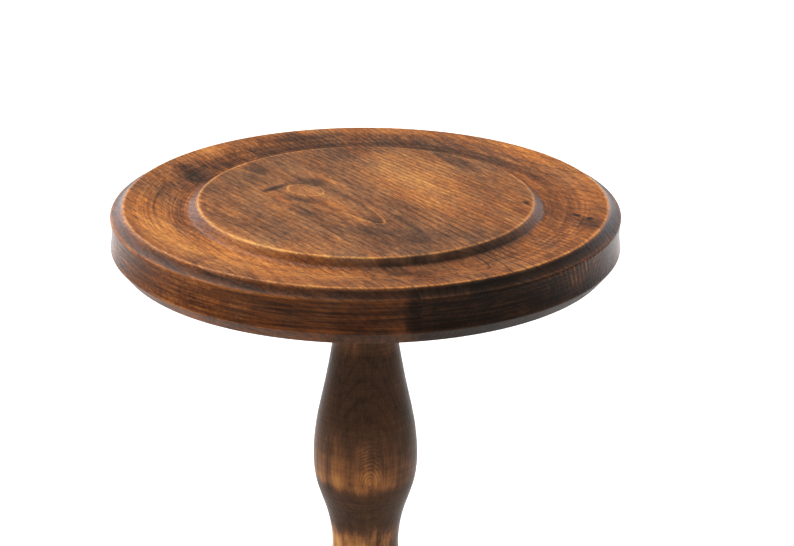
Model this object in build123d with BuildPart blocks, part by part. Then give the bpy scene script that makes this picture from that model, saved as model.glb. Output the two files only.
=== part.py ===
"""Small tilt-top pedestal table in stained hardwood.

A round turned top, glued up from three boards, is screwed to two battens. The battens turn on two
steel pins held in a block on top of the column, so the top swings up from level to upright, and a
brass slide bolt under the top locks it to the block. The turned column is wedged into the block.
Three shaped legs slide into dovetail sockets in its hub, tied together by an iron spider plate.

Frame: millimetres, +Z up, origin on the floor under the column's axis. The boards' grain and the
pivot run along X, the battens run along Y, and the pivot lies on the +Y side of the column.
"""

import os

from build123d import *

# --- Driving dimensions -------------------------------------------------------------------------

TABLE_HEIGHT = 560.0

# Top. Radii are from the axis, and drops are below the raised, flat middle (the field).
TOP_RADIUS = 160.0
TOP_THICKNESS = 37.0
FIELD_RADIUS = 105.0
FLANK_RUN, FLANK_DROP = 1.7, 3.3  # steep side of the field
GROOVE_RADIUS, GROOVE_DROP = 117.0, 5.2  # lowest line of the groove round the field
RIM_RADIUS, RIM_DROP = 151.7, 2.1  # raised line round the rim
BEVEL_DROP, BEVEL_SAG = 7.7, 0.6  # foot and hollow of the bevel outside the rim line
FACE_DROP, FACE_SAG = 28.4, 0.9  # foot and hollow of the upright face
UNDERSIDE_RADIUS = 152.6  # where the lower bevel meets the flat underside
EDGE_BREAK = 0.6  # narrow flats on the turned edges
SEAMS = (-49.0, 81.0)  # glue lines between the boards, along Y

# Tilting block, pins and battens.
PIVOT_Y = 44.0
PIVOT_DROP = 13.0  # pivot axis below the underside
KNUCKLE_RADIUS = 12.6  # half the block's thickness, rounded over the pivot and square below it
BLOCK_HALF_WIDTH = 55.0
BLOCK_FRONT = -56.0
BLOCK_CORNER, BLOCK_CHAMFER = 6.0, 1.2
PIN_RADIUS, PIN_LENGTH, PIN_IN_BLOCK = 5.0, 44.0, 23.0
RUNNING_GAP = 0.05
WASHER_RADIUS, WASHER_THICKNESS = 9.0, 1.0
SIDE_GAP = 0.3  # washer to batten
BATTEN_WIDTH, BATTEN_DEPTH = 22.0, 22.0
BATTEN_HALF_LENGTH, BATTEN_HALF_FLAT = 100.0, 50.0
BATTEN_TIP_DEPTH, BATTEN_BEND, BATTEN_CHAMFER = 8.0, 25.0, 1.5
BATTEN_SCREWS_Y = (-88.0, -24.0, 14.0, 92.0)
BATTEN_SCREW_SEAT = 7.0  # screw heads below the underside, in deep counterbores

# Column, from the hub up to the tenon.
HUB_BOTTOM, HUB_TOP, HUB_RADIUS = 95.0, 181.0, 31.0
HUB_CHAMFER = 1.5
COLLAR_RADIUS, COLLAR_THICKNESS = 27.0, 5.0
TENON_RADIUS = 15.0
WEDGE_TOP, WEDGE_TIP, WEDGE_DEPTH = 3.4, 1.8, 18.0
GLUE_GAP = 0.05

# Legs. Distances are from the column's axis.
LEG_THICKNESS, LEG_ROUND = 27.0, 4.0
LEG_COUNT, FIRST_LEG_ANGLE = 3, 90.0
FOOT_CENTRE, FOOT_RADIUS, FOOT_HEIGHT = 137.5, 18.5, 13.0
FOOT_ROUND, FOOT_HEEL_ROUND = 5.0, 1.0
TONGUE_MOUTH, TONGUE_BACK, TONGUE_DEPTH, TONGUE_TOP = 12.0, 16.0, 12.0, 166.0
GLIDE_RADIUS, GLIDE_THICKNESS = 13.0, 3.0

# Spider plate under the hub.
SPIDER_THICKNESS, SPIDER_HUB_RADIUS = 2.0, 22.0
SPIDER_ARM_WIDTH, SPIDER_REACH = 16.0, 54.0
SPIDER_SCREWS = (24.5, 46.0)  # from the axis, along each arm, besides one on the axis

# Slide bolt and keeper.
BOLT_DROP = 8.0  # bolt axis below the underside
BOLT_RADIUS, BOLT_LENGTH, BOLT_TRAVEL = 3.5, 50.0, 9.5
BOLT_NOSE, NOSE_ROUND = -59.5, 1.2  # drawn back
CATCH_WIDTH, CATCH_LENGTH, CATCH_THICKNESS, CATCH_Y = 27.0, 58.0, 1.5, -92.0
BARREL_RADIUS, BARREL_LENGTH, BARREL_Y = 5.5, 42.0, -87.0
KNOB_Y, KNOB_STEM, KNOB_RADIUS, KNOB_HEIGHT = -93.0, 2.0, 5.0, 4.0
KNOB_CLEAR, KNOB_SLOT_GAP, KNOB_ROUND = 3.0, 0.2, 1.5
KEEPER_WIDTH, KEEPER_HEIGHT, KEEPER_THICKNESS = 38.0, 17.0, 1.5
KEEPER_DROP = 9.3  # keeper's centre below the underside
SOCKET_SIZE, SOCKET_DEPTH = 9.0, 12.0
KEEPER_SCREW_X = 13.0
CATCH_SCREW_X, CATCH_SCREW_Y = 9.4, 22.0
PLATE_CORNER = 2.5
SMALL_CHAMFER = 0.6

# Heights that follow from the ones above.
UNDERSIDE = TABLE_HEIGHT - TOP_THICKNESS
PIVOT_Z = UNDERSIDE - PIVOT_DROP
BLOCK_TOP = PIVOT_Z + KNUCKLE_RADIUS
BLOCK_BOTTOM = PIVOT_Z - KNUCKLE_RADIUS
BLOCK_BACK = PIVOT_Y + KNUCKLE_RADIUS
BOLT_Z = UNDERSIDE - BOLT_DROP
KEEPER_Z = UNDERSIDE - KEEPER_DROP
BATTEN_X = BLOCK_HALF_WIDTH + WASHER_THICKNESS + SIDE_GAP + BATTEN_WIDTH / 2

SIDES = {"left": -1, "right": 1}
LEG_ANGLES = [FIRST_LEG_ANGLE + 360 / LEG_COUNT * number for number in range(LEG_COUNT)]
ALONG_Y = (-90, 0, 0)  # turns a screw that points along +Z to point along +Y


# --- Wood screws --------------------------------------------------------------------------------


def screw_body(shank, head, length, gap=0.0):
    """Outline of a countersunk screw, turned about Z, with its head level with Z = 0 and its tip
    pointing along +Z. A gap grows it into the hole for that screw."""
    with BuildPart() as body:
        with BuildSketch(Plane.XZ):
            with BuildLine():
                Polyline(
                    (0, 0),
                    (head + gap, 0),
                    (shank + gap, head - shank),
                    (shank + gap, length - 3 * shank),
                    (0.3 + gap, length + gap),
                    (0, length + gap),
                    close=True,
                )
            make_face()
        revolve(axis=Axis.Z)
    return body.part


def wood_screw(shank, head, length):
    """A slotted countersunk wood screw."""
    body = screw_body(shank, head, length)
    with BuildPart() as screw:
        add(body)
        with BuildSketch(Plane.XY):
            Rectangle(3 * head, head / 3)
        extrude(amount=(head - shank) / 2, mode=Mode.SUBTRACT)
    return screw.part


def screw_hole(shank, head, length, sink=0.0):
    """The space that a wood screw takes up, with an open counterbore that is sink deep."""
    body = screw_body(shank, head, length, RUNNING_GAP)
    with BuildPart() as hole:
        add(body)
        if sink:
            with BuildSketch(Plane.XY):
                Circle(head + 1)
            extrude(amount=-sink)
    return hole.part


BATTEN_SCREW = (2.1, 4.2, 30.0)  # shank radius, head radius, length
SPIDER_SCREW = (1.9, 3.8, 24.0)
CATCH_SCREW = (1.2, 2.5, 12.0)

batten_screw, batten_hole = wood_screw(*BATTEN_SCREW), screw_hole(*BATTEN_SCREW, sink=BATTEN_DEPTH)
spider_screw, spider_hole = wood_screw(*SPIDER_SCREW), screw_hole(*SPIDER_SCREW)
catch_screw, catch_hole = wood_screw(*CATCH_SCREW), screw_hole(*CATCH_SCREW)
top_hole = screw_hole(*BATTEN_SCREW)

catch_screw_places = [
    Location((x, CATCH_Y + y, UNDERSIDE - CATCH_THICKNESS))
    for x in (-CATCH_SCREW_X, CATCH_SCREW_X)
    for y in (-CATCH_SCREW_Y, CATCH_SCREW_Y)
]
keeper_screw_places = [
    Location((x, BLOCK_FRONT - KEEPER_THICKNESS, KEEPER_Z), ALONG_Y)
    for x in (-KEEPER_SCREW_X, KEEPER_SCREW_X)
]
spider_plane = Plane.XY.offset(HUB_BOTTOM - SPIDER_THICKNESS)
spider_screw_places = [spider_plane.location] + [
    spider_plane.location * Location((0, 0, 0), (0, 0, angle)) * Location((reach, 0, 0))
    for angle in LEG_ANGLES
    for reach in SPIDER_SCREWS
]


def batten_screw_places(side):
    """Where the screws through one batten have their heads."""
    head_z = UNDERSIDE - BATTEN_SCREW_SEAT
    return [Location((side * BATTEN_X, y, head_z)) for y in BATTEN_SCREWS_Y]


def save(part, name):
    """Labels a finished piece and writes it to its own file."""
    part.label = name
    export_step(part, f"parts/{name}.step")


os.makedirs("parts", exist_ok=True)

# --- Top: one turned blank, split along the glue lines into its three boards -----------------------

with BuildPart() as top_blank:
    with BuildSketch(Plane.XZ) as top_section:
        with BuildLine():
            z = TABLE_HEIGHT
            flank_foot = (FIELD_RADIUS + FLANK_RUN, z - FLANK_DROP)
            rim_line = (RIM_RADIUS, z - RIM_DROP)
            bevel_foot = (TOP_RADIUS, z - BEVEL_DROP)
            face_foot = (TOP_RADIUS, z - FACE_DROP)
            Line((0, z), (FIELD_RADIUS, z))
            Line((FIELD_RADIUS, z), flank_foot)
            Spline(
                flank_foot,
                (GROOVE_RADIUS, z - GROOVE_DROP),
                rim_line,
                tangents=[(FLANK_RUN, -FLANK_DROP), (1, 0)],
            )
            SagittaArc(rim_line, bevel_foot, -BEVEL_SAG)
            SagittaArc(bevel_foot, face_foot, -FACE_SAG)
            Line(face_foot, (UNDERSIDE_RADIUS, UNDERSIDE))
            Line((UNDERSIDE_RADIUS, UNDERSIDE), (0, UNDERSIDE))
            Line((0, UNDERSIDE), (0, z))
        make_face()
        turned_corners = top_section.vertices().filter_by(lambda v: v.X > 1)
        chamfer(turned_corners.filter_by(lambda v: abs(v.X - flank_foot[0]) > 1), EDGE_BREAK)
    revolve(axis=Axis.Z)
    with Locations(*batten_screw_places(-1), *batten_screw_places(1)):
        add(top_hole, mode=Mode.SUBTRACT)
    with Locations(*catch_screw_places):
        add(catch_hole, mode=Mode.SUBTRACT)

board_edges = (-TOP_RADIUS - 1, *SEAMS, TOP_RADIUS + 1)

for place, low, high in zip(("front", "middle", "back"), board_edges, board_edges[1:]):
    with BuildPart() as board:
        add(top_blank.part)
        with BuildSketch(Plane.XY.offset(UNDERSIDE - 1)):
            with Locations((0, low)):
                Rectangle(3 * TOP_RADIUS, high - low, align=(Align.CENTER, Align.MIN))
        extrude(amount=TOP_THICKNESS + 2, mode=Mode.INTERSECT)
    save(board.part, f"top_board_{place}")

# --- Battens under the top, and their screws ------------------------------------------------------

for side_name, side in SIDES.items():
    with BuildPart() as batten:
        with BuildSketch(Plane.YZ.offset(side * BATTEN_X)) as batten_side:
            with BuildLine():
                Polyline(
                    (-BATTEN_HALF_LENGTH, UNDERSIDE),
                    (-BATTEN_HALF_LENGTH, UNDERSIDE - BATTEN_TIP_DEPTH),
                    (-BATTEN_HALF_FLAT, UNDERSIDE - BATTEN_DEPTH),
                    (BATTEN_HALF_FLAT, UNDERSIDE - BATTEN_DEPTH),
                    (BATTEN_HALF_LENGTH, UNDERSIDE - BATTEN_TIP_DEPTH),
                    (BATTEN_HALF_LENGTH, UNDERSIDE),
                    close=True,
                )
            make_face()
            fillet(batten_side.vertices().group_by(Axis.Y)[0], BATTEN_BEND)
        extrude(amount=BATTEN_WIDTH / 2, both=True)
        side_edges = batten.faces().filter_by(Axis.X).edges()
        chamfer(side_edges.filter_by(lambda e: e.center().Z < UNDERSIDE - 1), BATTEN_CHAMFER)
        with BuildSketch(Plane.YZ.offset(side * BATTEN_X)):
            with Locations((PIVOT_Y, PIVOT_Z)):
                Circle(PIN_RADIUS + RUNNING_GAP)
        extrude(amount=BATTEN_WIDTH, both=True, mode=Mode.SUBTRACT)
        with Locations(*batten_screw_places(side)):
            add(batten_hole, mode=Mode.SUBTRACT)
    save(batten.part, f"batten_{side_name}")

    with BuildPart() as batten_screws:
        with Locations(*batten_screw_places(side)):
            add(batten_screw)
    save(batten_screws.part, f"batten_screws_{side_name}")

# --- Tilting block, its pins and washers -----------------------------------------------------------

with BuildPart() as tilt_block:
    with BuildSketch(Plane.YZ):
        with BuildLine():
            Polyline(
                (PIVOT_Y, BLOCK_TOP),
                (BLOCK_FRONT, BLOCK_TOP),
                (BLOCK_FRONT, BLOCK_BOTTOM),
                (BLOCK_BACK, BLOCK_BOTTOM),
                (BLOCK_BACK, PIVOT_Z),
            )
            RadiusArc((BLOCK_BACK, PIVOT_Z), (PIVOT_Y, BLOCK_TOP), -KNUCKLE_RADIUS)
        make_face()
    extrude(amount=BLOCK_HALF_WIDTH, both=True)
    fillet(tilt_block.edges().filter_by(Axis.Z).group_by(Axis.Y)[0], BLOCK_CORNER)
    chamfer(tilt_block.faces().sort_by(Axis.Z)[0].edges(), BLOCK_CHAMFER)
    with BuildSketch(Plane.XY.offset(BLOCK_BOTTOM)):
        Circle(TENON_RADIUS + GLUE_GAP)
    extrude(amount=2 * KNUCKLE_RADIUS, mode=Mode.SUBTRACT)
    for side in SIDES.values():
        with BuildSketch(Plane.YZ.offset(side * (BLOCK_HALF_WIDTH - PIN_IN_BLOCK))):
            with Locations((PIVOT_Y, PIVOT_Z)):
                Circle(PIN_RADIUS)
        extrude(amount=side * PIN_IN_BLOCK, mode=Mode.SUBTRACT)
    with BuildSketch(Plane.XZ.offset(-BLOCK_FRONT)):
        with Locations((0, BOLT_Z)):
            Rectangle(SOCKET_SIZE, SOCKET_SIZE)
    extrude(amount=-SOCKET_DEPTH, mode=Mode.SUBTRACT)
    with Locations(*keeper_screw_places):
        add(catch_hole, mode=Mode.SUBTRACT)
save(tilt_block.part, "tilt_block")

for side_name, side in SIDES.items():
    with BuildPart() as pivot_pin:
        with BuildSketch(Plane.YZ.offset(side * (BLOCK_HALF_WIDTH - PIN_IN_BLOCK))):
            with Locations((PIVOT_Y, PIVOT_Z)):
                Circle(PIN_RADIUS)
        extrude(amount=side * PIN_LENGTH)
        chamfer(pivot_pin.edges().sort_by(lambda e: side * e.center().X)[-1], SMALL_CHAMFER)
    save(pivot_pin.part, f"pivot_pin_{side_name}")

    with BuildPart() as pivot_washer:
        with BuildSketch(Plane.YZ.offset(side * BLOCK_HALF_WIDTH)):
            with Locations((PIVOT_Y, PIVOT_Z)):
                Circle(WASHER_RADIUS)
                Circle(PIN_RADIUS + RUNNING_GAP, mode=Mode.SUBTRACT)
        extrude(amount=side * WASHER_THICKNESS)
    save(pivot_washer.part, f"pivot_washer_{side_name}")

# --- Column: hub, lower vase, bead, upper vase, collar and wedged tenon ---------------------------


def kerf_outline(gap=0.0):
    """Outline in XZ of the wedge across the tenon's end, or of the cut that it is driven into."""
    Polyline(
        (-WEDGE_TOP / 2 - gap, BLOCK_TOP),
        (-WEDGE_TIP / 2 - gap, BLOCK_TOP - WEDGE_DEPTH - gap),
        (WEDGE_TIP / 2 + gap, BLOCK_TOP - WEDGE_DEPTH - gap),
        (WEDGE_TOP / 2 + gap, BLOCK_TOP),
        close=True,
    )


def tongue(gap=0.0):
    """A leg's dovetail tongue, for a leg that points along +X, or the socket that it slides into."""
    with BuildPart() as dovetail:
        with BuildSketch(Plane.XY.offset(HUB_BOTTOM)):
            with BuildLine():
                Polyline(
                    (HUB_RADIUS - TONGUE_DEPTH - gap, 0),
                    (HUB_RADIUS - TONGUE_DEPTH - gap, TONGUE_BACK / 2 + gap),
                    (HUB_RADIUS - 1, TONGUE_MOUTH / 2 + gap),
                    (HUB_RADIUS + 2, TONGUE_MOUTH / 2 + gap),
                    (HUB_RADIUS + 2, 0),
                )
                mirror(about=Plane.XZ)
            make_face()
        extrude(amount=TONGUE_TOP + gap - HUB_BOTTOM)
    return dovetail.part


socket = tongue(GLUE_GAP)

with BuildPart() as column:
    with BuildSketch(Plane.XZ):
        with BuildLine():
            hub_shoulder = (HUB_RADIUS, HUB_TOP)
            lower_ring_foot, lower_ring_head = (29.0, 183.0), (29.0, 195.0)
            vase_foot, vase_head = (27.0, 197.5), (23.0, 300.5)
            bead_foot, bead_head = (23.5, 304.0), (23.5, 316.0)
            neck_foot, neck_head = (22.6, 317.5), (19.6, 480.0)
            collar_foot = (COLLAR_RADIUS, BLOCK_BOTTOM - COLLAR_THICKNESS)
            Polyline((0, HUB_BOTTOM), (HUB_RADIUS, HUB_BOTTOM), hub_shoulder, lower_ring_foot)
            ThreePointArc(lower_ring_foot, (35.0, 189.0), lower_ring_head)
            Line(lower_ring_head, vase_foot)
            Spline(
                vase_foot, (36.5, 231.0), (30.5, 264.5), (20.5, 295.0), vase_head,
                tangents=[(0.5, 1), (1, 0.9)],
            )
            Line(vase_head, bead_foot)
            ThreePointArc(bead_foot, (29.5, 310.0), bead_head)
            Line(bead_head, neck_foot)
            Spline(
                neck_foot, (21.4, 331.0), (25.2, 352.0), (31.5, 371.2), (33.3, 391.0),
                (31.2, 412.8), (25.6, 440.0), (21.3, 464.0), neck_head,
                tangents=[(-0.4, 1), (-0.1, 1)],
            )
            Spline(neck_head, collar_foot, tangents=[(-0.1, 1), (1, 0.5)])
            Polyline(
                collar_foot,
                (COLLAR_RADIUS, BLOCK_BOTTOM),
                (TENON_RADIUS, BLOCK_BOTTOM),
                (TENON_RADIUS, BLOCK_TOP),
                (0, BLOCK_TOP),
                (0, HUB_BOTTOM),
            )
        make_face()
    revolve(axis=Axis.Z)
    chamfer(column.edges().filter_by(GeomType.CIRCLE).group_by(Axis.Z)[0], HUB_CHAMFER)
    with PolarLocations(0, LEG_COUNT, FIRST_LEG_ANGLE):
        add(socket, mode=Mode.SUBTRACT)
    with BuildSketch(Plane.XZ):
        with BuildLine():
            kerf_outline(GLUE_GAP)
        make_face()
    extrude(amount=TENON_RADIUS, both=True, mode=Mode.SUBTRACT)
    with Locations(spider_screw_places[0]):
        add(spider_hole, mode=Mode.SUBTRACT)
save(column.part, "column")

with BuildPart() as tenon_wedge:
    with BuildSketch(Plane.XZ):
        with BuildLine():
            kerf_outline()
        make_face()
    extrude(amount=TENON_RADIUS, both=True)
    with BuildSketch(Plane.XY.offset(BLOCK_TOP - WEDGE_DEPTH)):
        Circle(TENON_RADIUS)
    extrude(amount=WEDGE_DEPTH, mode=Mode.INTERSECT)
save(tenon_wedge.part, "tenon_wedge")

# --- Legs, spider plate and glides ------------------------------------------------------------------

leg_tongue = tongue()

with BuildPart() as leg_blank:
    with BuildSketch(Plane.XZ):
        with BuildLine():
            knee, toe = (20.0, 174.0), (152.0, 13.0)
            heel, root = (121.0, GLIDE_THICKNESS), (56.0, HUB_BOTTOM)
            Line((20.0, HUB_BOTTOM), knee)
            Spline(
                knee, (46.0, 168.0), (76.0, 135.0), (97.0, 88.0), (113.0, 48.0), (130.0, 23.0), toe,
                tangents=[(1, 0), (1, -0.15)],
            )
            Polyline(toe, (toe[0], GLIDE_THICKNESS), heel)
            Spline(
                heel, (108.0, 15.0), (96.0, 42.0), (81.0, 70.0), root,
                tangents=[(-1, 0.6), (-1, 0.15)],
            )
            Line(root, (20.0, HUB_BOTTOM))
        make_face()
    extrude(amount=LEG_THICKNESS / 2, both=True)
    long_edges = leg_blank.faces().filter_by(Axis.Y).edges()
    fillet(long_edges.filter_by(lambda e: e.center().X > 22 and e.center().Z > 20), LEG_ROUND)
    with BuildSketch(Plane.XZ) as foot_section:
        with Locations((FOOT_CENTRE, GLIDE_THICKNESS)):
            Rectangle(FOOT_RADIUS, FOOT_HEIGHT, align=Align.MIN)
        outer_corners = foot_section.vertices().group_by(Axis.X)[-1].sort_by(Axis.Y)
        fillet(outer_corners[0], FOOT_HEEL_ROUND)
        fillet(outer_corners[1], FOOT_ROUND)
    revolve(axis=Axis((FOOT_CENTRE, 0, 0), (0, 0, 1)))
    with BuildSketch(Plane.XY.offset(HUB_BOTTOM)):
        Circle(HUB_RADIUS + GLUE_GAP)
    extrude(amount=HUB_TOP - HUB_BOTTOM, mode=Mode.SUBTRACT)
    add(leg_tongue)

for number, angle in enumerate(LEG_ANGLES, start=1):
    with BuildPart() as leg:
        with Locations(Rotation(0, 0, angle)):
            add(leg_blank.part)
        with Locations(*spider_screw_places):
            add(spider_hole, mode=Mode.SUBTRACT)
    save(leg.part, f"leg_{number}")

    with BuildPart() as felt_glide:
        with BuildSketch(Plane.XY):
            with PolarLocations(FOOT_CENTRE, 1, angle):
                Circle(GLIDE_RADIUS)
        extrude(amount=GLIDE_THICKNESS)
        chamfer(felt_glide.edges().group_by(Axis.Z)[0], SMALL_CHAMFER)
    save(felt_glide.part, f"felt_glide_{number}")

with BuildPart() as spider_plate:
    with BuildSketch(spider_plane):
        Circle(SPIDER_HUB_RADIUS)
        with PolarLocations(0, LEG_COUNT, FIRST_LEG_ANGLE):
            arm_tip = (SPIDER_REACH - SPIDER_ARM_WIDTH / 2, 0)
            SlotCenterPoint((SPIDER_REACH / 2, 0), arm_tip, SPIDER_ARM_WIDTH)
    extrude(amount=SPIDER_THICKNESS)
    with Locations(*spider_screw_places):
        add(spider_hole, mode=Mode.SUBTRACT)
save(spider_plate.part, "spider_plate")

with BuildPart() as spider_screws:
    with Locations(*spider_screw_places):
        add(spider_screw)
save(spider_screws.part, "spider_screws")

# --- Slide bolt under the top, and its keeper on the block -------------------------------------------

with BuildPart() as latch_body:
    with BuildSketch(Plane.XY.offset(UNDERSIDE - CATCH_THICKNESS)):
        with Locations((0, CATCH_Y)):
            RectangleRounded(CATCH_WIDTH, CATCH_LENGTH, PLATE_CORNER)
    extrude(amount=CATCH_THICKNESS)
    with BuildSketch(Plane.XZ.offset(-BARREL_Y)):
        with Locations((0, BOLT_Z)):
            Circle(BARREL_RADIUS)
            web_height = UNDERSIDE - CATCH_THICKNESS - BOLT_Z
            Rectangle(2 * BARREL_RADIUS, web_height, align=(Align.CENTER, Align.MIN))
    extrude(amount=BARREL_LENGTH / 2, both=True)
    with BuildSketch(Plane.XZ.offset(-BARREL_Y)):
        with Locations((0, BOLT_Z)):
            Circle(BOLT_RADIUS + RUNNING_GAP)
    extrude(amount=BARREL_LENGTH, both=True, mode=Mode.SUBTRACT)
    with BuildSketch(Plane.XY.offset(BOLT_Z)):
        with Locations((0, KNOB_Y + BOLT_TRAVEL / 2)):
            SlotCenterToCenter(BOLT_TRAVEL, 2 * (KNOB_STEM + KNOB_SLOT_GAP), rotation=90)
    extrude(amount=-2 * BARREL_RADIUS, mode=Mode.SUBTRACT)
    with Locations(*catch_screw_places):
        add(catch_hole, mode=Mode.SUBTRACT)
save(latch_body.part, "latch_body")

with BuildPart() as latch_screws:
    with Locations(*catch_screw_places):
        add(catch_screw)
save(latch_screws.part, "latch_screws")

with BuildPart() as latch_bolt:
    with BuildSketch(Plane.XZ.offset(-BOLT_NOSE)):
        with Locations((0, BOLT_Z)):
            Circle(BOLT_RADIUS)
    extrude(amount=BOLT_LENGTH)
    fillet(latch_bolt.edges().sort_by(Axis.Y)[-1], NOSE_ROUND)
    chamfer(latch_bolt.edges().sort_by(Axis.Y)[0], SMALL_CHAMFER)
    with BuildSketch(Plane.XY.offset(BOLT_Z)):
        with Locations((0, KNOB_Y)):
            Circle(KNOB_STEM)
    extrude(amount=-BOLT_RADIUS, mode=Mode.SUBTRACT)
save(latch_bolt.part, "latch_bolt")

with BuildPart() as latch_knob:
    with BuildSketch(Plane.XZ.offset(-KNOB_Y)) as knob_section:
        with BuildLine():
            knob_top = BOLT_Z - BARREL_RADIUS - KNOB_CLEAR
            Polyline(
                (0, BOLT_Z),
                (KNOB_STEM, BOLT_Z),
                (KNOB_STEM, knob_top),
                (KNOB_RADIUS, knob_top),
                (KNOB_RADIUS, knob_top - KNOB_HEIGHT),
                (0, knob_top - KNOB_HEIGHT),
                close=True,
            )
        make_face()
        fillet(knob_section.vertices().group_by(Axis.X)[-1], KNOB_ROUND)
    revolve(axis=Axis((0, KNOB_Y, 0), (0, 0, 1)))
save(latch_knob.part, "latch_knob")

with BuildPart() as keeper_plate:
    with BuildSketch(Plane.XZ.offset(-BLOCK_FRONT)):
        with Locations((0, KEEPER_Z)):
            RectangleRounded(KEEPER_WIDTH, KEEPER_HEIGHT, PLATE_CORNER)
        with Locations((0, BOLT_Z)):
            Rectangle(SOCKET_SIZE, SOCKET_SIZE, mode=Mode.SUBTRACT)
    extrude(amount=KEEPER_THICKNESS)
    with Locations(*keeper_screw_places):
        add(catch_hole, mode=Mode.SUBTRACT)
save(keeper_plate.part, "keeper_plate")

with BuildPart() as keeper_screws:
    with Locations(*keeper_screw_places):
        add(catch_screw)
save(keeper_screws.part, "keeper_screws")
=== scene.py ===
import math

import bmesh
import bpy
from mathutils import Matrix, Vector


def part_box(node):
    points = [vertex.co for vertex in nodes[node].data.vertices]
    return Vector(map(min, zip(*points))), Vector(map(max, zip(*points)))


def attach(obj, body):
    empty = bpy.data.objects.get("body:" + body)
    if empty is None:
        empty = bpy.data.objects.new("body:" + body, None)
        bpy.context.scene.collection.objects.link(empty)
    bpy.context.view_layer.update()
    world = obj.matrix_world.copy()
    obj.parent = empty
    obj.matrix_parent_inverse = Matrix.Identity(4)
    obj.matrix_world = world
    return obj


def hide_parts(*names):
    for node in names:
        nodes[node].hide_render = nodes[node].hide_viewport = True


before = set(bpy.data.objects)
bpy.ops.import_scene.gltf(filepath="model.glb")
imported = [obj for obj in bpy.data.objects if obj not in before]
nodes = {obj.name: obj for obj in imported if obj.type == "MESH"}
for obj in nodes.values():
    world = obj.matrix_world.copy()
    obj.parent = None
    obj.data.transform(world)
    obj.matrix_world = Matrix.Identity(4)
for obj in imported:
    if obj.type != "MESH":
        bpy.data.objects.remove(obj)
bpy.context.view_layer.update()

# Sizes read from the frame. Lengths are in metres, but for the camera's lens and sensor.
TOP_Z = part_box("top_board_middle")[1].z
UNDERSIDE_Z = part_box("top_board_middle")[0].z
TOP_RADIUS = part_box("top_board_middle")[1].x
FRONT_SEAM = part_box("top_board_front")[1].y
BACK_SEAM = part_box("top_board_back")[0].y

# Turned outline of the top. Radii are from the axis, and drops are below the raised field.
FIELD_RADIUS = 0.105
FLANK_FOOT, FLANK_DROP = 0.1098, 0.0039
GROOVE_RADIUS, GROOVE_DROP = 0.117, 0.0052
RIM_RADIUS, RIM_DROP = 0.1517, 0.0021
BEVEL_DROP = 0.0077
FACE_DROP, FACE_HOLLOW = 0.0284, 0.0009
UNDERSIDE_RADIUS = 0.1526

# Level directions (x, y) over the table, as the photograph shows it.
TO_RIGHT = (0.5, 0.866)
TO_BACK = (-0.866, 0.5)
TO_FRONT = (0.866, -0.5)

# --- Camera, at the photograph's viewing angle ---------------------------------------------------

CAMERA_AZIMUTH = math.radians(60.0)
CAMERA_ELEVATION = math.radians(19.25)
CAMERA_DISTANCE = 2.366  # to the middle of the field
CAMERA_YAW, CAMERA_PITCH, CAMERA_ROLL = (math.radians(a) for a in (0.506, 20.36, 0.25))
CAMERA_LENS, CAMERA_SENSOR = 171.6, 36.0  # mm


def make_camera():
    data = bpy.data.cameras.new("camera")
    data.lens = CAMERA_LENS
    data.sensor_width = CAMERA_SENSOR
    camera = bpy.data.objects.new("camera", data)
    bpy.context.scene.collection.objects.link(camera)
    level = CAMERA_DISTANCE * math.cos(CAMERA_ELEVATION)
    place = Vector((
        level * math.sin(CAMERA_AZIMUTH),
        -level * math.cos(CAMERA_AZIMUTH),
        TOP_Z + CAMERA_DISTANCE * math.sin(CAMERA_ELEVATION),
    ))
    heading = Matrix.Rotation(CAMERA_AZIMUTH - CAMERA_YAW, 4, "Z")
    tilt = Matrix.Rotation(math.pi / 2 - CAMERA_PITCH, 4, "X")
    roll = Matrix.Rotation(CAMERA_ROLL, 4, "Z")
    camera.matrix_world = Matrix.Translation(place) @ heading @ tilt @ roll
    bpy.context.scene.camera = camera


# --- Fields: numbers that vary over a surface, built as shader nodes -----------------------------


class Field:
    """A number that varies over a surface, as an output socket of the material being made."""

    def __init__(self, tree, socket):
        self.tree = tree
        self.socket = socket

    def math(self, operation, *others):
        node = self.tree.nodes.new("ShaderNodeMath")
        node.operation = operation
        for slot, value in zip(node.inputs, (self, *others)):
            feed(slot, value)
        return Field(self.tree, node.outputs[0])

    def __add__(self, other):
        return self.math("ADD", other)

    def __sub__(self, other):
        return self.math("SUBTRACT", other)

    def __mul__(self, other):
        return self.math("MULTIPLY", other)

    def __truediv__(self, other):
        return self.math("DIVIDE", other)

    __radd__ = __add__

    def smooth(self, low, high):
        """0 at low, 1 at high, with an eased slope between them."""
        node = self.tree.nodes.new("ShaderNodeMapRange")
        node.interpolation_type = "SMOOTHSTEP"
        feed(node.inputs["Value"], self)
        node.inputs["From Min"].default_value = low
        node.inputs["From Max"].default_value = high
        return Field(self.tree, node.outputs["Result"])

    def hill(self, centre, width):
        """1 at centre, fading to nothing about two widths away."""
        offset = (self - centre) / width
        return (offset * offset * -1.0).math("EXPONENT")


def feed(slot, value):
    if isinstance(value, Field):
        value.tree.links.new(value.socket, slot)
    else:
        slot.default_value = value


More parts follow.
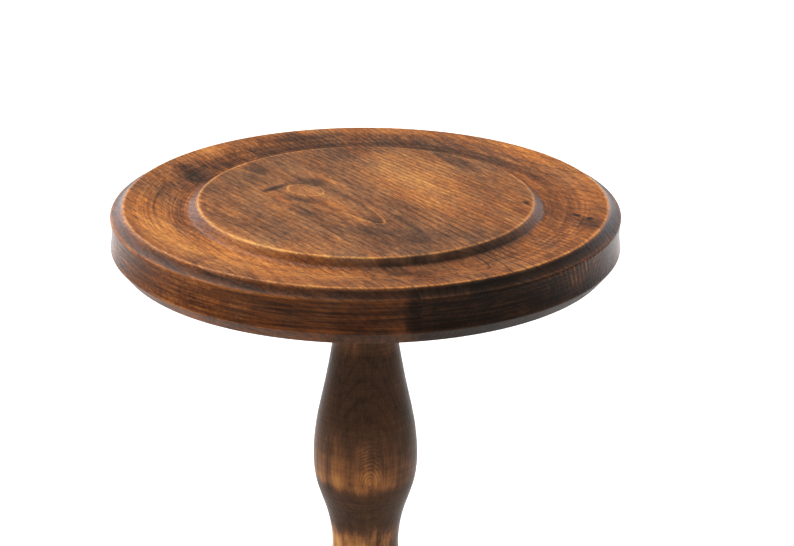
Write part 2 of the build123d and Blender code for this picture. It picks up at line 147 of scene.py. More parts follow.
class Surface:
    """A material being made: its shader, and its place in the object's own coordinates."""

    def __init__(self, name):
        self.material = bpy.data.materials.new(name)
        self.material.use_nodes = True
        self.tree = self.material.node_tree
        self.shader = self.tree.nodes["Principled BSDF"]
        place = self.tree.nodes.new("ShaderNodeTexCoord")
        self.x, self.y, self.z = self.split(place.outputs["Object"])
        self.nx, self.ny, self.nz = self.split(place.outputs["Normal"])

    def split(self, vector):
        node = self.tree.nodes.new("ShaderNodeSeparateXYZ")
        self.tree.links.new(vector, node.inputs[0])
        return [Field(self.tree, output) for output in node.outputs]

    def vector(self, x, y, z):
        node = self.tree.nodes.new("ShaderNodeCombineXYZ")
        for slot, value in zip(node.inputs, (x, y, z)):
            feed(slot, value)
        return node.outputs[0]

    def noise(self, x, y, z, detail=2.0, roughness=0.55):
        """Smooth noise from about -0.5 to 0.5, with one lump to each unit of x, y and z."""
        node = self.tree.nodes.new("ShaderNodeTexNoise")
        self.tree.links.new(self.vector(x, y, z), node.inputs["Vector"])
        node.inputs["Scale"].default_value = 1.0
        node.inputs["Detail"].default_value = detail
        node.inputs["Roughness"].default_value = roughness
        return Field(self.tree, node.outputs[0]) - 0.5

    def ramp(self, value, stops):
        """Colour by value, through stops of (value, red, green, blue)."""
        node = self.tree.nodes.new("ShaderNodeValToRGB")
        feed(node.inputs[0], value)
        ramp = node.color_ramp
        while len(ramp.elements) < len(stops):
            ramp.elements.new(0.5)
        for element, (place, *colour) in zip(ramp.elements, stops):
            element.position = place
            element.color = (*colour, 1.0)
        return node.outputs["Color"]

    def paint(self, value, stops, other_stops=None, share=0.0):
        """Colours the surface by value, with a share of a second set of stops mixed in."""
        colour = self.ramp(value, stops)
        if other_stops:
            node = self.tree.nodes.new("ShaderNodeMixRGB")
            feed(node.inputs["Fac"], share)
            self.tree.links.new(colour, node.inputs["Color1"])
            self.tree.links.new(self.ramp(value, other_stops), node.inputs["Color2"])
            colour = node.outputs["Color"]
        self.tree.links.new(colour, self.shader.inputs["Base Color"])

    def bump(self, height, depth):
        """Raises the surface by height times depth, in metres, in the shading only."""
        node = self.tree.nodes.new("ShaderNodeBump")
        node.inputs["Distance"].default_value = depth
        feed(node.inputs["Height"], height)
        self.tree.links.new(node.outputs["Normal"], self.shader.inputs["Normal"])

    def set(self, **values):
        for name, value in values.items():
            feed(self.shader.inputs[name.replace("_", " ")], value)

    def level(self, direction):
        """How far a point lies in a level direction from the axis."""
        return self.x * direction[0] + self.y * direction[1]

    def oval(self, x, y, half_length, half_width, angle=0.0):
        """Distance from a spot on the top, as 1 on an oval round it. The angle is in degrees."""
        turn = math.radians(angle)
        dx, dy = self.x - x, self.y - y
        along = (dx * math.cos(turn) + dy * math.sin(turn)) / half_length
        across = (dy * math.cos(turn) - dx * math.sin(turn)) / half_width
        return (along * along + across * across).math("SQRT")


# --- Wood: stain ---------------------------------------------------------------------------------

# Colour by value, as stops of (value, red, green, blue).
BROWN_STAIN = [
    (0.00, 0.009, 0.006, 0.004),
    (0.22, 0.032, 0.018, 0.011),
    (0.45, 0.102, 0.049, 0.026),
    (0.65, 0.234, 0.110, 0.048),
    (0.82, 0.425, 0.208, 0.066),
    (1.00, 0.650, 0.360, 0.105),
]
RED_STAIN = [
    (0.00, 0.011, 0.005, 0.003),
    (0.22, 0.040, 0.014, 0.006),
    (0.45, 0.138, 0.042, 0.012),
    (0.65, 0.298, 0.098, 0.025),
    (0.82, 0.490, 0.182, 0.040),
    (1.00, 0.680, 0.315, 0.085),
]
# The finish is thin and satin.
FINISH_IOR, FINISH_SPECULAR = 1.4, 0.06


def finish_wood(s, value, redness, roughness, height, depth=0.0002):
    """Stains by value, from brown to red by redness. The finish follows the grain's height."""
    s.paint(value, BROWN_STAIN, RED_STAIN, redness)
    s.set(Roughness=roughness, IOR=FINISH_IOR, Specular_IOR_Level=FINISH_SPECULAR)
    s.bump(height, depth)
    return s.material


def rings(distance, spacing, warp):
    """Growth rings by distance from the pith: a dark latewood line, then a thin light one."""
    turn = (distance / spacing + warp).math("FRACT")
    late = turn.smooth(0.45, 0.80) * turn.smooth(0.95, 0.84)
    light = turn.hill(0.96, 0.05)
    return turn, late, light


# --- Wood: the boards of the top -----------------------------------------------------------------

RING_SPACING = 0.0038
RING_PHASE = -0.10
# For each metre along X, the pith runs this far across the board, and sinks this far.
PITH_SLANT, PITH_SINK = 0.16, 0.07
SEAM_WIDTH = 0.00022

# Ovals on the top: x, y, half length, half width, angle, and for a patch its lift.
EYES = (
    (-0.0345, -0.0240, 0.0128, 0.0088, 22.0),
    (-0.1260, -0.0170, 0.0080, 0.0050, 10.0),
)
TONGUE = (0.026, -0.014, 0.024, 0.015, 10.0)  # where one light ring shows
TURNING_MARKS = (-0.090, -0.088, 0.070, 0.070)  # where the gouge's rings are clearest
BARS = (0.144, 0.064, 0.034, 0.034)  # where the face's end grain has light bars
MIDDLE_PATCHES = (
    (-0.012, 0.044, 0.070, 0.030, 0.0, 0.12),
    (0.076, -0.014, 0.042, 0.025, 10.0, -0.14),
    (0.015, -0.048, 0.055, 0.014, 14.0, -0.09),
    (-0.089, 0.040, 0.020, 0.020, 0.0, -0.12),
    (-0.086, -0.029, 0.014, 0.010, 0.0, -0.10),
    (-0.068, -0.040, 0.018, 0.012, 0.0, -0.06),
    (-0.0475, -0.0395, 0.0125, 0.0034, -76.0, -0.36),
    (-0.0470, -0.0150, 0.0170, 0.0100, 75.0, -0.15),
    (-0.0190, -0.0330, 0.0160, 0.0050, 30.0, -0.14),
    (-0.030, -0.010, 0.034, 0.008, 8.0, -0.12),
    (-0.0345, -0.0240, 0.0130, 0.0090, 22.0, 0.06),
    (-0.138, 0.022, 0.034, 0.009, 75.0, -0.22),
    (-0.1260, -0.0170, 0.0080, 0.0050, 10.0, 0.12),
    (-0.135, -0.038, 0.014, 0.012, 0.0, 0.12),
    (0.113, -0.039, 0.020, 0.010, 42.0, -0.13),
)
FRONT_PATCHES = (
    (-0.045, -0.074, 0.034, 0.018, 0.0, -0.08),
    # Painted sheen on the front of the groove.
    (0.022, -0.120, 0.080, 0.026, 12.0, 0.19),
    (0.097, -0.080, 0.026, 0.014, 40.0, 0.08),
    # Painted sheen on the front-left of the groove.
    (-0.040, -0.126, 0.050, 0.016, -14.0, 0.12),
    (-0.108, -0.065, 0.022, 0.010, 0.0, -0.26),
    (0.153, -0.052, 0.010, 0.008, 0.0, -0.24),
)
BACK_PATCHES = (
    (0.020, 0.130, 0.080, 0.022, 0.0, 0.08),
    (-0.040, 0.088, 0.030, 0.008, 0.0, -0.14),
    (0.0550, 0.0840, 0.0040, 0.0020, 0.0, -0.40),
    (0.080, 0.105, 0.0040, 0.0016, 0.0, -0.40),
    (0.093, 0.1065, 0.0030, 0.0020, 0.0, -0.40),
    (0.100, 0.100, 0.018, 0.009, -20.0, -0.18),
)


class TopRegions:
    """Masks over the turned top: 1 inside a region and 0 outside it, with a soft edge between."""

    def __init__(self, s):
        # By distance from the axis.
        reach = (s.x * s.x + s.y * s.y).math("SQRT")
        self.reach = reach
        self.step = reach.smooth(0.112, 0.108)
        self.flank = reach.hill(0.1085, 0.0025)
        self.groove = reach.smooth(FLANK_FOOT - 0.001, 0.114) * reach.smooth(RIM_RADIUS, 0.136)
        self.outer = reach.smooth(0.1560, 0.1590)
        # By the way the surface faces.
        self.end = s.nx.math("ABSOLUTE").smooth(0.25, 0.85)
        self.face = s.nz.math("ABSOLUTE").smooth(0.80, 0.35)
        self.under = s.nz.smooth(-0.3, -0.9)
        self.seen = self.under * -1.0 + 1.0
        outside_rim = reach.smooth(RIM_RADIUS + 0.0006, RIM_RADIUS + 0.0024)
        self.bevel = outside_rim * s.nz.smooth(0.45, 0.72)
        # By the way round the table.
        self.topside = s.z.smooth(TOP_Z - 0.012, TOP_Z - 0.008)
        self.front_right_side = (s.x / reach).smooth(0.25, 0.85)
        side = s.level(TO_RIGHT) / reach
        self.far_left = side.smooth(-0.7, -1.0)
        self.left_side = side.smooth(0.5, -0.8)
        self.far_right = side.smooth(0.70, 0.98)
        self.far_side = (s.level(TO_BACK) / reach).smooth(-0.1, 0.9) * self.topside


class BoardGrain:
    """The figure of one board: noises stretched along X, its grain, and rings round its pith."""

    def __init__(self, s, seed, pith, eyes, reach):
        x, y, z = s.x + seed * 0.37, s.y + seed * 0.11, s.z
        # From fine to coarse.
        self.pores = s.noise(x * 240.0, y * 3600.0, z * 3600.0).smooth(0.12, 0.24)
        self.fibre = s.noise(x * 110.0, y * 1100.0, z * 1100.0, detail=3.0)
        self.fleck = s.noise(x * 300.0, y * 760.0, z * 760.0, detail=2.0)
        self.dash = s.noise(x * 42.0, y * 560.0, z * 560.0, detail=2.0)
        self.ripple = s.noise(x * 760.0, y * 240.0, z * 240.0, detail=3.0)
        self.streak = s.noise(x * 12.0, y * 170.0, z * 170.0, detail=3.0)
        self.edge_patchiness = s.noise(x * 70.0, y * 70.0, z * 70.0, detail=3.0) + 0.62
        self.cloud = s.noise(x * 45.0, y * 80.0, z * 60.0, detail=3.0)
        self.tint = s.noise(x * 22.0 + 5.0, y * 55.0, z * 55.0, detail=3.0)
        self.blotch = s.noise(x * 14.0, y * 28.0, z * 28.0, detail=3.0)
        # Round the axis: marks of the gouge, arcs of painted sheen for the groove, and marks of
        # the rag on the face.
        self.turned = s.noise(reach * 900.0, x * 9.0, y * 9.0, detail=4.0, roughness=0.7)
        self.painted_sheen_arcs = s.noise(reach * 240.0, x * 8.0 + 3.0, y * 8.0, detail=3.0)
        self.wiped = s.noise(z * 620.0, x * 22.0, y * 22.0, detail=3.0)

        pith_y, pith_depth = pith
        slow = s.noise(x * 6.0, y * 16.0, z * 16.0, detail=1.5)
        across = s.y - s.x * PITH_SLANT - pith_y + slow * 0.008
        depth = s.z + s.x * PITH_SINK - (TOP_Z - pith_depth)
        distance = (across * across + depth * depth).math("SQRT")
        warp = s.noise(x * 16.0, y * 60.0, z * 60.0) * 0.7 + RING_PHASE
        self.turn, self.late, self.light = rings(distance, RING_SPACING, warp)
        self.rib = self.turn.hill(0.84, 0.075) * (self.dash * 3.0 + 0.60).math("MAXIMUM", 0.0)

        # The rings part round an eye.
        self.outlines = []
        for eye in eyes:
            oval = s.oval(*eye) + s.noise(x * 60.0, y * 60.0, z * 60.0) * 0.35
            clear = oval.smooth(0.9, 1.7)
            self.late = self.late * clear
            self.rib = self.rib * clear
            self.light = self.light * clear
            self.outlines.append(oval.hill(1.0, 0.055))


def edge_wear_and_highlight(s, r):
    """Where edges are rubbed through the stain, most at the left, with a painted highlight along
    the bevel's lower edge.
    """
    field_edge = r.reach.hill(FIELD_RADIUS + 0.0001, 0.0011) * 0.42
    field_edge = field_edge + r.reach.hill(FIELD_RADIUS - 0.0005, 0.0014) * r.left_side * 0.14
    field_edge = field_edge * s.z.smooth(TOP_Z - 0.0016, TOP_Z - 0.0002)
    rim_edge = r.reach.hill(RIM_RADIUS - 0.0004, 0.0009)
    rim_edge = rim_edge * s.z.smooth(TOP_Z - 0.006, TOP_Z - 0.003) * 0.36
    # Painted highlight along the edge between bevel and face.
    bevel_edge_highlight = s.z.hill(TOP_Z - BEVEL_DROP + 0.0001, 0.0009) * r.outer
    bevel_edge_highlight = bevel_edge_highlight * (r.left_side * 0.22 + 0.24)
    low_edge = s.z.hill(TOP_Z - FACE_DROP, 0.0009) * r.outer * 0.12
    return field_edge + rim_edge + bevel_edge_highlight + low_edge


def board(name, seed, pith, eyes=(), patches=(), ripple_depth=0.2, end_darkness=0.36, ribs=1.0):
    """One board of the top.

    pith: where the middle of the rings crosses X = 0, as its Y and its depth below the field.
    eyes: ovals with a light outline round plain wood.
    patches: ovals, each with a lift, where the stain is lighter or darker; two on the front board
    are painted sheen in the groove.
    ripple_depth, end_darkness, ribs: the strength of the ripple, of the end grain's stain and of
    the dark ribs along the rings."""
    s = Surface(name)
    r = TopRegions(s)
    g = BoardGrain(s, seed, pith, eyes, r.reach)
    reach = r.reach

    value = 0.575 + g.blotch * 0.40 + g.cloud * 0.26 + g.streak * 0.20
    # Figure blurs where the grain is cut across, and on the turned slopes.
    clear_figure = (r.end * 0.7 + r.bevel * 0.4 + r.flank * 0.4 + r.face * 0.25) * -1.0 + 1.0
    figure = g.fibre * 0.50 + g.fleck * 0.36 + g.dash * 0.40 + g.ripple * ripple_depth
    value = value + figure * clear_figure - g.pores * 0.08
    for outline in g.outlines:
        value = value + outline * r.seen * 0.20
    # Behind the middle the grain is straight, and the rings are dark ribs rather than soft bands.
    straight_grain = s.y.smooth(-0.012, 0.022)
    value = value - g.rib * (straight_grain * 0.36 + 0.06) * ribs
    value = value - g.late * 0.07 * (straight_grain * -0.8 + 1.0)
    value = value + g.light * s.oval(*TONGUE).smooth(1.2, 0.6) * 0.24

    # Painted shade at the foot of the step and in the groove's cove, deepest on the front-right
    # side.
    painted_cove_shade = reach.hill(0.1090, 0.0030) * 0.09 + reach.hill(0.1105, 0.0045) * r.front_right_side * 0.08
    painted_cove_shade = painted_cove_shade + reach.hill(0.120, 0.009) * 0.06
    value = value - painted_cove_shade * r.topside
    # The groove has rings from turning, arcs of painted sheen, and is a little lighter on the
    # left. On the far side its floor has painted shade and its outer slope painted light.
    ring_marks = s.oval(*TURNING_MARKS).smooth(1.3, 0.5) * 0.4 + 0.48
    value = value + (g.turned * ring_marks + g.painted_sheen_arcs * 0.42 + r.left_side * 0.02) * r.groove
    far_groove_shade_and_light = reach.hill(0.147, 0.007) * 0.09 - reach.hill(0.125, 0.011) * 0.19
    value = value + far_groove_shade_and_light * r.far_side

    for *oval, lift in patches:
        # A narrow mark has a cleaner edge than a broad patch.
        narrow = oval[3] <= 0.006
        frayed = s.oval(*oval) + g.cloud * (0.4 if narrow else 1.1)
        value = value + frayed.smooth(1.3, 0.3) * r.seen * lift

    # End grain drinks the stain: dark, with the rings' edges left lighter.
    # On the step the end grain's darkening is cut back, as painted light against the step's shade.
    value = value - r.end * (g.late * -0.06 + r.step * -0.19 + end_darkness)
    # The upright face is darker than the top, apart from its wiped streaks, with painted light and
    # shade by side: lighter at the left and far right, darker at the far left.
    rubbing_and_side_light = g.wiped * 0.72 + r.left_side * 0.13 + r.far_right * 0.14 - r.far_left * 0.12 - 0.19
    value = value + r.face * rubbing_and_side_light
    # The bevel is darker, lighter at the left and on the end grain, and the underside is darker.
    value = value + r.bevel * (r.left_side * 0.15 + r.end * 0.10 - 0.36) - r.under * 0.22
    bars = s.oval(*BARS).smooth(1.3, 0.4) * s.z.smooth(TOP_Z - 0.026, TOP_Z - 0.010)
    bars = bars * g.turn.smooth(0.35, 0.70) * g.turn.smooth(1.0, 0.75)
    value = value + bars * r.face * (g.cloud * 1.6 + 0.28)

    # Rubbed edges, and the painted highlight on the bevel's lower edge.
    wear_and_highlight = edge_wear_and_highlight(s, r)
    value = value + wear_and_highlight * g.edge_patchiness
    # The glue lines are a hair lighter.
    seam = s.y.hill(FRONT_SEAM, SEAM_WIDTH) + s.y.hill(BACK_SEAM, SEAM_WIDTH)
    value = value + seam * (r.face * -0.10 + 0.14)

    redness = 0.37 + g.tint * 1.6 + (value - 0.55) * 0.7 - wear_and_highlight * 0.4 + r.face * 0.60
    redness = redness - r.end * 0.35 + reach.smooth(0.1052, 0.1085) * 0.32 + r.far_right * 0.26
    redness = redness + r.bevel * (r.left_side * 0.40 + r.end * 0.30)
    redness = redness + reach.hill(0.113, 0.007) * r.left_side * 0.50
    roughness = 0.31 + g.cloud * 0.22 + g.fibre * 0.15 + r.under * 0.20 - r.face * 0.07
    height = g.fibre * 0.9 + g.late * 0.25 + g.ripple * 0.25 - g.pores * 1.2
    height = height + g.turned * r.groove * 0.9
    return finish_wood(s, value, redness, roughness, height)


# --- Wood: the column ----------------------------------------------------------------------------

COLUMN_PITH = (-0.070, 0.040)
COLUMN_RING_SPACING = 0.0024
# Up the column: low end, its fade, high end, its fade, and lift.
RUBBED_BANDS = (
    (0.3715, 0.0080, 0.430, 0.056, 0.30),
    (0.3160, 0.0060, 0.3475, 0.012, 0.48),
    (0.2080, 0.0100, 0.262, 0.030, 0.30),
    (0.1860, 0.0020, 0.192, 0.002, 0.26),
    (0.3060, 0.0020, 0.313, 0.002, 0.16),
    (0.4600, 0.0060, 0.490, 0.010, 0.12),
)
# Where growth rings show as ovals on the bulb, and the spacing of the ovals in half widths.
OVAL_ACROSS, OVAL_UP = 0.0028, 0.381
OVAL_HALF_WIDTH, OVAL_HALF_HEIGHT, OVAL_SPACING = 0.0030, 0.0048, 0.52


def column_wood():
    """The column: grain along Z, turned from a square with the pith outside it."""
    s = Surface("column_wood")
    x, y, z = s.x, s.y, s.z
    sideways = s.level(TO_RIGHT)
    slow = s.noise(x * 10.0, y * 10.0, z * 5.0)
    pith_x, pith_y = COLUMN_PITH
    along_x = x - pith_x + slow * 0.004
    along_y = y - pith_y
    distance = (along_x * along_x + along_y * along_y).math("SQRT")
    warp = s.noise(x * 30.0, y * 30.0, z * 12.0) * 1.1
    _, late, _ = rings(distance, COLUMN_RING_SPACING, warp)

    pores = s.noise(x * 3600.0, y * 3600.0, z * 240.0).smooth(0.12, 0.24)
    fibre = s.noise(x * 1300.0, y * 1300.0, z * 80.0, detail=3.0)
    turned = s.noise(x * 12.0, y * 12.0, z * 1100.0, detail=3.0)
    streak = s.noise(x * 230.0, y * 230.0, z * 9.0, detail=3.0)
    cloud = s.noise(x * 80.0, y * 80.0, z * 120.0, detail=3.0)
    blotch = s.noise(x * 26.0, y * 26.0, z * 15.0, detail=3.0)

    value = 0.30 + blotch * 0.16 + fibre * 0.22 + cloud * 0.14 + turned * 0.16 + streak * 0.12
    value = value - late * 0.03 - pores * 0.08
    # Turned high spots are rubbed lighter, in streaks, and the hollows between stay darker. The
    # left side is painted lighter and the right darker, as painted light from the left.
    ragged_low = z + streak * 0.005 + blotch * 0.012
    ragged_high = z - streak * 0.009 + blotch * 0.016
    rubbing_and_side_light = streak * 1.5 + blotch * 1.4 + cloud * 0.8 - sideways * 9.0 + 0.78
    for low, low_fade, high, high_fade, lift in RUBBED_BANDS:
        band = ragged_low.smooth(low, low + low_fade) * ragged_high.smooth(high, high - high_fade)
        value = value + band * rubbing_and_side_light * lift

    # The rings come to the surface in ovals where the bulb is cut through them.
    across, up = sideways - OVAL_ACROSS, z - OVAL_UP
    wide, tall = across / OVAL_HALF_WIDTH, up / OVAL_HALF_HEIGHT
    dip = (wide * wide + tall * tall).math("SQRT") + cloud * 1.2 + streak * 0.5
    lines = (dip * (2 * math.pi / OVAL_SPACING)).math("SINE")
    near = across.hill(0.0, 0.0075) * up.hill(0.010, 0.016) * s.level(TO_FRONT).smooth(0.0, 0.02)
    value = value + lines * near * 0.09 + dip.hill(0.0, 0.5) * near * 0.14

    redness = value.smooth(0.35, 0.65) * 0.25 + 0.05 + blotch * 0.8
    roughness = 0.33 + cloud * 0.22 + fibre * 0.15
    height = fibre * 0.9 + late * 0.2 - pores * 1.0 + turned * 1.0
    return finish_wood(s, value, redness, roughness, height)


# --- Wood: legs and joinery ----------------------------------------------------------------------

PLAIN_RING_SPACING = 0.0030
GRAIN_STRETCH = 0.96  # how much of the way along the grain is taken out of the noises
RUBBED_EDGE_LIFT = 0.35
LEG_GRAIN_SLOPE = math.radians(-58.0)
KNUCKLE_REACH = 0.150  # where a leg's foot is rubbed lighter on top, from the axis


def plain_wood(name, grain, seed, base):
    """Sawn or shaped wood with its grain along a unit vector, before its edges are rubbed."""
    s = Surface(name)
    gx, gy, gz = grain
    along = s.x * gx + s.y * gy + s.z * gz + seed * 0.31
    x = s.x - along * (gx * GRAIN_STRETCH)
    y = s.y - along * (gy * GRAIN_STRETCH)
    z = s.z - along * (gz * GRAIN_STRETCH)
    slow = s.noise(x * 22.0, y * 22.0, z * 22.0)
    px, py, pz = x + 0.05, y - 0.04, z - 0.03
    distance = (px * px + py * py + pz * pz).math("SQRT")
    _, late, light = rings(distance, PLAIN_RING_SPACING, slow * 2.4)
    fibre = s.noise(x * 1500.0, y * 1500.0, z * 1500.0, detail=3.0)
    streak = s.noise(x * 280.0, y * 280.0, z * 280.0, detail=3.0)
    blotch = s.noise(s.x * 22.0 + seed, s.y * 22.0, s.z * 22.0, detail=3.0)
    cloud = s.noise(s.x * 90.0, s.y * 90.0, s.z * 90.0 + seed, detail=3.0)
    end = (s.nx * gx + s.ny * gy + s.nz * gz).math("ABSOLUTE").smooth(0.45, 0.95)
    value = base + blotch * 0.30 + streak * 0.42 + fibre * 0.26 + cloud * 0.14
    value = value + late * -0.09 + light * 0.05 - end * 0.16
    return s, value, late, fibre, cloud


def joinery_wood(name, grain, seed, base=0.50):
    """Battens, block and wedge. Their chamfers, which face between axes, are rubbed lighter."""
    s, value, late, fibre, cloud = plain_wood(name, grain, seed, base)
    xx, yy, zz = s.nx * s.nx, s.ny * s.ny, s.nz * s.nz
    between = (xx * yy + yy * zz + zz * xx) * 4.0
    value = value + between.smooth(0.35, 0.95) * (RUBBED_EDGE_LIFT * 0.6)
    roughness = 0.52 + cloud * 0.22 + fibre * 0.12
    return finish_wood(s, value, cloud * 1.5 + 0.45, roughness, fibre * 0.9 + late * 0.3, 0.00022)


def leg_wood(name, angle, seed):
    """A leg that stands out at an angle: its grain slopes down and out along it."""
    out = (math.cos(angle), math.sin(angle))
    run = math.cos(LEG_GRAIN_SLOPE)
    grain = (out[0] * run, out[1] * run, math.sin(LEG_GRAIN_SLOPE))
    s, value, late, fibre, cloud = plain_wood(name, grain, seed, 0.40)
    sideways = s.nx * -out[1] + s.ny * out[0]
    square = sideways * sideways
    corner = (square - square * square) * 4.0
    edge_patchiness = s.noise(s.x * 60.0, s.y * 60.0, s.z * 60.0, detail=3.0) + 0.6
    upper = s.nz.smooth(-0.25, 0.15)
    value = value + corner.smooth(0.35, 1.0) * edge_patchiness * upper * RUBBED_EDGE_LIFT
    value = value + s.level(out).hill(KNUCKLE_REACH, 0.010) * s.nz.smooth(0.3, 0.9) * 0.20
    roughness = 0.42 + cloud * 0.22 + fibre * 0.12
    return finish_wood(s, value, cloud * 1.5 + 0.45, roughness, fibre * 0.9 + late * 0.3)


# --- Metals and felt -----------------------------------------------------------------------------


def metal(name, stops, roughness, spread, grit, depth):
    """Dulled metal: blotchy tarnish, fine scratches along X, and grit in the surface.

    spread: how far the roughness varies. grit: lumps to a metre. depth: the lumps' height."""
    s = Surface(name)
    tarnish = s.noise(s.x * 160.0, s.y * 160.0, s.z * 160.0, detail=4.0)
    scratch = s.noise(s.x * 300.0, s.y * 4000.0, s.z * 4000.0, detail=2.0)
    lump = s.noise(s.x * grit, s.y * grit, s.z * grit, detail=3.0)
    s.paint(0.5 + tarnish * 0.8 + scratch * 0.20, stops)
    s.set(Metallic=1.0, Roughness=roughness + tarnish * spread + scratch * 0.10)
    s.bump(lump + scratch * 0.4, depth)
    return s.material


def brass():
    stops = [(0.15, 0.16, 0.095, 0.038), (0.5, 0.36, 0.24, 0.10), (0.9, 0.56, 0.42, 0.21)]
    return metal("aged_brass", stops, 0.36, 0.30, 900.0, 0.00002)


def steel():
    stops = [(0.15, 0.12, 0.11, 0.10), (0.5, 0.38, 0.37, 0.35), (0.9, 0.62, 0.61, 0.59)]
    return metal("dull_steel", stops, 0.34, 0.40, 1200.0, 0.00006)


def iron():
    stops = [(0.15, 0.020, 0.016, 0.014), (0.6, 0.055, 0.050, 0.046), (0.95, 0.16, 0.10, 0.07)]
    return metal("black_iron", stops, 0.55, 0.35, 420.0, 0.00030)


def felt():
    s = Surface("felt")
    wool = s.noise(s.x * 1100.0, s.y * 1100.0, s.z * 1100.0, detail=4.0, roughness=0.7)
    matted = s.noise(s.x * 180.0, s.y * 180.0, s.z * 260.0, detail=3.0)
    stops = [(0.2, 0.018, 0.020, 0.016), (0.6, 0.055, 0.060, 0.048), (1.0, 0.13, 0.135, 0.11)]
    s.paint(0.5 + wool * 0.9 + matted * 0.4, stops)
    s.set(Roughness=0.95, Sheen_Weight=0.5, Sheen_Roughness=0.6)
    s.bump(wool + matted, 0.0006)
    return s.material


# --- The turned top, in its three boards ---------------------------------------------------------

LATHE_SIDES = 360
# Rounding of the outline's corners, from the edge of the field out and down to the underside.
CORNER_RADII = (0.0011, 0.0005, 0.0012, 0.0008, 0.0008, 0.0008)
BEVEL_SCOOP = Vector((-0.0004, -0.0006))  # pulls the middle of the bevel in and down
# The gouge's faint rings in the groove: two waves, in radians to a metre.
GOUGE_FROM, GOUGE_TO, GOUGE_HEIGHT = 0.112, 0.140, 0.000028
GOUGE_FINE, GOUGE_COARSE = 3900.0, 2310.0


def curve(p0, p1, p2, p3, count):
    """Points along a cubic curve from p0 to p3."""
    points = []
    for i in range(count + 1):
        t = i / count
        a, b, c, d = (1 - t) ** 3, 3 * t * (1 - t) ** 2, 3 * t * t * (1 - t), t ** 3
        points.append(p0 * a + p1 * b + p2 * c + p3 * d)
    return points


def straight(p0, p1, step):
    count = max(1, round((p1 - p0).length / step))
    return [p0.lerp(p1, i / count) for i in range(count + 1)]


def rounded(pieces, radii, steps=6):
    """Joins runs of points end to end, with each corner between two runs rounded by its radius."""
    outline = list(pieces[0])
    for piece, radius in zip(pieces[1:], radii):
        corner = outline[-1]
        head = [p for p in outline if (p - corner).length > radius * 1.3]
        tail = [p for p in piece if (p - corner).length > radius * 1.3]
        start = corner + (head[-1] - corner).normalized() * radius
        end = corner + (tail[0] - corner).normalized() * radius
        arc = curve(start, start.lerp(corner, 0.6), end.lerp(corner, 0.6), end, steps)
        outline = head + arc + tail
    return outline


def top_outline():
    """The turned section (radius, height), from the middle of the field round to the underside."""
    centre, field = Vector((0.0, TOP_Z)), Vector((FIELD_RADIUS, TOP_Z))
    flank = Vector((FLANK_FOOT, TOP_Z - FLANK_DROP))
    low = Vector((GROOVE_RADIUS, TOP_Z - GROOVE_DROP))
    rim = Vector((RIM_RADIUS, TOP_Z - RIM_DROP))
    bevel = Vector((TOP_RADIUS, TOP_Z - BEVEL_DROP))
    foot = Vector((TOP_RADIUS, TOP_Z - FACE_DROP))
    under = Vector((UNDERSIDE_RADIUS, UNDERSIDE_Z))
    cove = curve(flank, flank + Vector((0.0013, -0.0010)), low - Vector((0.0045, 0)), low, 20)
    swell = curve(low, low + Vector((0.0150, 0)), rim - Vector((0.0150, 0)), rim, 70)
    # A cubic curve reaches three quarters of the way to its two middle points.
    pull = Vector((FACE_HOLLOW * 1.33, 0))
    hollow = curve(bevel, bevel.lerp(foot, 0.33) - pull, bevel.lerp(foot, 0.67) - pull, foot, 24)
    scoop = curve(
        rim,
        rim.lerp(bevel, 0.33) + BEVEL_SCOOP,
        rim.lerp(bevel, 0.67) + BEVEL_SCOOP,
        bevel,
        12,
    )
    pieces = [
        straight(centre, field, 0.004),
        straight(field, flank, 0.0008),
        cove + swell[1:],
        scoop,
        hollow,
        straight(foot, under, 0.002),
        straight(under, Vector((0.0, UNDERSIDE_Z)), 0.006),
    ]
    outline = rounded(pieces, CORNER_RADII)
    for point in outline:
        if point.y > TOP_Z - 0.006 and GOUGE_FROM < point.x < GOUGE_TO:
            fade = math.sin(math.pi * (point.x - GOUGE_FROM) / (GOUGE_TO - GOUGE_FROM))
            wave = math.sin(point.x * GOUGE_FINE) + 0.6 * math.sin(point.x * GOUGE_COARSE + 1.0)
            point.y += GOUGE_HEIGHT * fade * wave
    return outline


def lathe(mesh, outline, count):
    """Turns an outline, which starts and ends on the axis, round Z."""
    first, last = outline[0], outline[-1]
    poles = [mesh.verts.new((0, 0, first.y)), mesh.verts.new((0, 0, last.y))]
    loops = []
    for point in outline[1:-1]:
        turns = [2 * math.pi * i / count for i in range(count)]
        places = [(point.x * math.cos(a), point.x * math.sin(a), point.y) for a in turns]
        loops.append([mesh.verts.new(place) for place in places])
    for i in range(count):
        j = (i + 1) % count
        mesh.faces.new((poles[0], loops[0][i], loops[0][j]))
        mesh.faces.new((loops[-1][i], poles[1], loops[-1][j]))
        for upper, lower in zip(loops, loops[1:]):
            mesh.faces.new((upper[i], lower[i], lower[j], upper[j]))
    bmesh.ops.recalc_face_normals(mesh, faces=mesh.faces)


def saw(mesh, y, keep):
    """Cuts the mesh at a glue line, keeps one side (+1 or -1 along Y) and closes the cut."""
    parts = list(mesh.verts) + list(mesh.edges) + list(mesh.faces)
    bmesh.ops.bisect_plane(
        mesh, geom=parts, dist=1e-7, plane_co=(0, y, 0), plane_no=(0, -keep, 0), clear_outer=True
    )
    rim = [e for e in mesh.edges if e.is_boundary]
    made = bmesh.ops.triangle_fill(mesh, use_beauty=True, use_dissolve=False, edges=rim)
    for item in made["geom"]:
        if isinstance(item, bmesh.types.BMFace):
            item.smooth = False
    for edge in rim:
        edge.smooth = False
    bmesh.ops.recalc_face_normals(mesh, faces=mesh.faces)


def add_piece(name, mesh, material, body, replaced):
    data = bpy.data.meshes.new(name)
    mesh.to_mesh(data)
    mesh.free()
    piece = bpy.data.objects.new(name, data)
    bpy.context.scene.collection.objects.link(piece)
    data.materials.append(material)
    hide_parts(*replaced)
    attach(piece, body)


